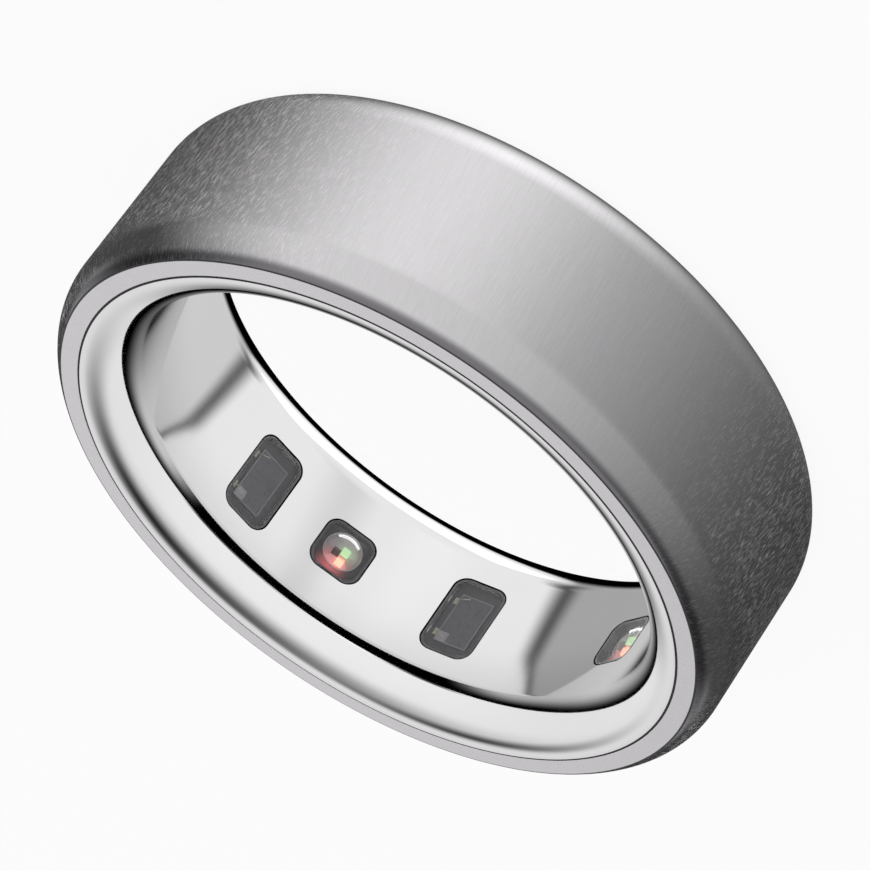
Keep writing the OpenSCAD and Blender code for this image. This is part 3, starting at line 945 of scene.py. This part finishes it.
def film_piece(number, at, materials):
    """The thin clear film that closes an emitter's window, level with the bore."""
    skin = Skin()
    thick = 0.012 * mm
    shape = outline(window_w - 2 * fit, emitter_h - 2 * fit, window_corner - fit)
    front = bore_surface(fill_r - 1.5 * thick, at, 1)
    back = bore_surface(fill_r - 0.5 * thick, at, -1)
    closed_sheet(skin, shape, front, back, (bent_rings, bent_rings), at)
    put_in_place(skin.make(f"emitter_film_{number}", materials["film_clear"]), "lens_clear")


def make_pieces(materials):
    shell_piece(materials)
    liner_piece(materials)
    for number, at in enumerate(receivers_at, 1):
        resin_piece(number, at, materials)
        wires_piece(number, at, materials)
        die_marks_piece(number, at, materials)
    for number, at in enumerate(emitters_at, 1):
        lens_piece(number, at, materials)
        painted_glow_plate_piece(number, at)
        face_piece(number, at)
        film_piece(number, at, materials)
        # The dice aren't mirrored in the metal and the clear pieces round them
        for colour in ("green", "red", "infrared"):
            frame["nodes"][f"{colour}_die_{number}"].visible_glossy = False


def make_world():
    """Soft studio light. The camera sees plain white behind the ring.

    The pools and flags are placed by the x and y of a direction of length 1.
    """
    world = bpy.data.worlds.new("studio")
    bpy.context.scene.world = world
    world.use_nodes = True
    world.cycles.sampling_method = "NONE"
    world.node_tree.nodes.clear()
    graph = Graph(world.node_tree)
    x, y, z = graph.axes(graph.node("ShaderNodeTexCoord").outputs["Generated"])

    # Below the horizon: two broad pools of light ahead, and dim towards the back
    dim = 0.044
    near_pool = graph.pool(x, y, (0.36, -0.3), (0.87, 0.87), height=0.93)
    wide_pool = graph.pool(x, y, (0.2, -0.56), (1.58, 1.58), height=0.79)
    below = graph.math("ADD", graph.math("ADD", near_pool, wide_pool), dim)

    # Above it: white, with three soft dark flags behind, a light between them and a dark foot
    base = graph.ramp(y, 0.6, -0.9, 0.86, 0.95)
    right_flag = graph.pool(x, y, (-0.24, 0.52), (0.42, 0.52), 15, 0.95)
    left_flag = graph.pool(x, y, (0.2, 0.6), (0.24, 0.34), 0, 0.88)
    broad_flag = graph.pool(x, y, (-0.05, 0.28), (0.75, 0.8), 0, 0.72)
    light = graph.pool(x, y, (0.02, 0.72), (0.17, 0.26), 0, 0.92)
    lit = graph.product(graph.less(right_flag), graph.less(left_flag), graph.less(broad_flag))
    lit = graph.mixed(light, lit, 1.0)
    foot = graph.product(graph.ramp(z, 0.45, 0.0), graph.ramp(y, 0.5, 0.9), graph.hump(x, 0.0, 0.3, 0.95))
    above = graph.product(base, lit, graph.less(foot))

    level = graph.mixed(graph.ramp(z, -0.03, 0.03), below, above)
    seen = graph.node("ShaderNodeLightPath").outputs["Is Camera Ray"]
    strength = graph.mixed(seen, level, 1.0)
    sky = graph.node("ShaderNodeBackground", {"Color": (1, 1, 1, 1), "Strength": strength})
    out = graph.node("ShaderNodeOutputWorld")
    graph.put(out.inputs["Surface"], sky.outputs[0])


def stage_mesh(name, points, faces, material):
    mesh = bpy.data.meshes.new(name)
    mesh.from_pydata(points, [], faces)
    mesh.materials.append(material)
    piece = bpy.data.objects.new(name, mesh)
    bpy.context.scene.collection.objects.link(piece)
    return piece


def flat_stage(name, radius, height, material):
    """A round stage piece that lies flat."""
    sides = 96
    turns = [2 * math.pi * k / sides for k in range(sides)]
    points = [(radius * math.cos(t), radius * math.sin(t), height) for t in turns]
    return stage_mesh(name, points, [list(range(sides))], material)


def only_mirrored(piece):
    """Hides a stage piece from the camera and from matt surfaces, and takes its shadow away."""
    piece.visible_camera = False
    piece.visible_diffuse = False
    piece.visible_shadow = False


def stage_material(name):
    material = bpy.data.materials.new(name)
    material.use_nodes = True
    material.node_tree.nodes.clear()
    return material, Graph(material.node_tree)


def stage_output(graph, shader):
    graph.put(graph.node("ShaderNodeOutputMaterial").inputs["Surface"], shader)


def make_floor():
    """A plain white floor that keeps a faint shadow."""
    material, graph = stage_material("floor_white")
    floor_r = 3.0
    below_ring = 0.02 * mm
    plain_share = 0.9
    paint = graph.node("ShaderNodeBsdfDiffuse", {"Color": (0.95, 0.95, 0.95, 1)}).outputs[0]
    seen = graph.node("ShaderNodeLightPath").outputs["Is Camera Ray"]
    stage_output(graph, graph.either(graph.math("MULTIPLY", seen, plain_share), paint, graph.light(1.0)))
    floor = flat_stage("floor", floor_r, -below_ring, material)
    floor.visible_glossy = False


def make_bore_card():
    """A big card under the ring that only the bore mirrors, through its rear opening.

    The opening's own two clear sheets mark the light paths that pass them, and the card shows to these
    alone. The collar has a clear foot, so a path that passes one clear surface doesn't see the card.
    """
    card_r = 400 * mm
    card_drop = 20 * mm
    sheet_gap = 0.005 * mm
    sheet, graph = stage_material("clear_sheet")
    stage_output(graph, graph.see_through())
    for number in (1, 2):
        only_mirrored(flat_stage(f"opening_sheet_{number}", lip_edge_r, -sheet_gap * number, sheet))

    material, graph = stage_material("bore_card")
    x, y, _ = graph.axes_mm()
    side = graph.math("ABSOLUTE", x)
    # The light part's wavy edge, in millimetres on the card
    wave_length, wave_height, crest_at, wave_at = 52, 4.7, 4.0, 9.0
    turn = graph.math("MULTIPLY", graph.math("SUBTRACT", side, crest_at), 2 * math.pi / wave_length)
    edge = graph.math("MULTIPLY_ADD", graph.math("COSINE", turn), wave_height, wave_at)
    edge = graph.math("ADD", edge, graph.ramp(side, 38.5, 42.5, 0.0, 9.0))
    past = graph.math("SUBTRACT", y, edge)
    # White up to the edge, with a dark line along it, grey beyond, and black behind the middle
    white = graph.math("SUBTRACT", 0.92, graph.pool(x, y, (-9, -30), (11, 30), 0, 0.17))
    white = graph.math("ADD", white, graph.pool(x, y, (16, -26), (14, 22), 0, 0.06))
    grey = graph.math("MULTIPLY", graph.ramp(x, 2, -2, 0.42, 0.68), graph.ramp(side, 5, 13))
    line = graph.math("MULTIPLY", graph.hump(past, 0.0, 6.0, 0.82), graph.ramp(side, 8, 20))
    level = graph.product(graph.mixed(graph.ramp(past, -1.4, 1.4), white, grey), graph.less(line),
                          graph.ramp(graph.length(x, y), 37, 46, 1.0, 0.75))
    # A bright bar for the highlight on the domed lenses
    bar = graph.math("MULTIPLY", graph.ramp(side, 13, 10), graph.hump(y, 4.0, 7.0, 2.6))
    depth = graph.node("ShaderNodeLightPath").outputs["Transparent Depth"]
    through = graph.math("GREATER_THAN", depth, 1.5)
    glow = graph.light(graph.math("ADD", level, bar))
    stage_output(graph, graph.either(through, graph.see_through(), glow))
    only_mirrored(flat_stage("bore_card", card_r, -card_drop, material))


def upright_stage(name, radius, foot, top, reach, material):
    """A thin upright wall of the stage, to a reach in degrees on both sides of the nearest place.

    Its faces look towards the ring's axis.
    """
    steps = 128
    points = []
    for k in range(steps + 1):
        t = math.radians(reach * (2 * k / steps - 1))
        for level in (foot, top):
            points.append((radius * math.sin(t), -radius * math.cos(t), level))
    faces = [(2 * k, 2 * k + 1, 2 * k + 3, 2 * k + 2) for k in range(steps)]
    only_mirrored(stage_mesh(name, points, faces, material))


def make_collar():
    """A low card close to the band, so that its rounded front edge is as light as the band beside it."""
    material, graph = stage_material("collar")
    gap = 0.5 * mm
    foot = ring_w - 1.85 * mm
    top = ring_w + 1.6 * mm
    foot_fade = 0.45 * mm
    reach, full_to = 95, 72
    dim = 0.09
    z = graph.axes()[2]
    turn = graph.azimuth()
    # Where the light starts and where it is full from either side, in degrees from the near side
    one_side, other_side = (-65, 25), (66, 30)
    level = graph.math("MULTIPLY", graph.ramp(turn, *one_side), graph.ramp(turn, *other_side))
    shown = graph.math("MULTIPLY", graph.ramp(z, foot, foot + foot_fade),
                       graph.ramp(graph.math("ABSOLUTE", turn), reach, full_to))
    glow = graph.light(graph.math("ADD", level, dim))
    stage_output(graph, graph.either(shown, graph.see_through(), glow))
    upright_stage("collar", outer_r + gap, foot, top, reach, material)


def make_sleeve():
    """A dark sleeve in the bore, seen from the axis alone, so that the bore doesn't mirror itself.

    It is black on the near side, and shades off from grey to black upwards on the far side.
    """
    material, graph = stage_material("sleeve")
    gap = 0.03 * mm
    # Heights in millimetres, black above the first and grey below the second, at the camera's two sides
    right_heights, right_grey = (7.5, 2.5), 0.62
    left_heights, left_grey = (6.7, 0.0), 0.5
    blend_to = 6
    near_to, far_from = 85, 130
    x, _, z = graph.axes_mm()
    right = graph.ramp(z, *right_heights, 0.0, right_grey)
    left = graph.ramp(z, *left_heights, 0.0, left_grey)
    far = graph.ramp(graph.math("ABSOLUTE", graph.azimuth()), near_to, far_from)
    level = graph.math("MULTIPLY", graph.mixed(graph.ramp(x, -blend_to, blend_to), right, left), far)
    from_outside = graph.node("ShaderNodeNewGeometry").outputs["Backfacing"]
    stage_output(graph, graph.either(from_outside, graph.light(level), graph.see_through()))
    upright_stage("sleeve", bore_r - gap, 0.0, ring_w, 180, material)


def make_dome_cards():
    """A small soft light at the rear wall of each emitter's window, for the highlight on its dome."""
    half_w = 0.62 * mm
    near = bore_r + 0.04 * mm
    far = lens_y - 0.07 * mm
    z = mid_z - clear_emitter_h / 2 + 0.02 * mm
    strength = 5.0
    for number, at in enumerate(emitters_at, 1):
        material, graph = stage_material(f"dome_card_{number}")
        behind = graph.node("ShaderNodeNewGeometry").outputs["Backfacing"]
        stage_output(graph, graph.light(graph.mixed(behind, strength, 0.0)))
        corners = ((-half_w, near), (half_w, near), (half_w, far), (-half_w, far))
        points = [turned((x, y, z), at) for x, y in corners]
        card = stage_mesh(f"dome_card_{number}", points, [(0, 1, 2, 3)], material)
        only_mirrored(card)
        card.visible_transmission = False


def make_camera():
    """The camera looks down from the front, rolled so that the bore shows below the band."""
    place = Vector((0.035, -132.27, 79.89)) * mm
    right = Vector((-0.8167, -0.2884, -0.4998))
    up = Vector((0.5771, -0.4082, -0.7074))
    turn = Matrix((right, up, right.cross(up))).transposed()
    data = bpy.data.cameras.new("camera")
    data.sensor_width = 36.0
    data.lens = 186.75
    data.clip_start = 0.01
    data.clip_end = 10.0
    camera = bpy.data.objects.new("camera", data)
    bpy.context.scene.collection.objects.link(camera)
    camera.matrix_world = Matrix.Translation(place) @ turn.to_4x4()
    bpy.context.scene.camera = camera


materials = slot_materials()
finish_nodes(materials)
make_pieces(materials)
make_world()
make_floor()
make_bore_card()
make_sleeve()
make_collar()
make_dome_cards()
make_camera()
bpy.context.scene.view_settings.view_transform = "Standard"
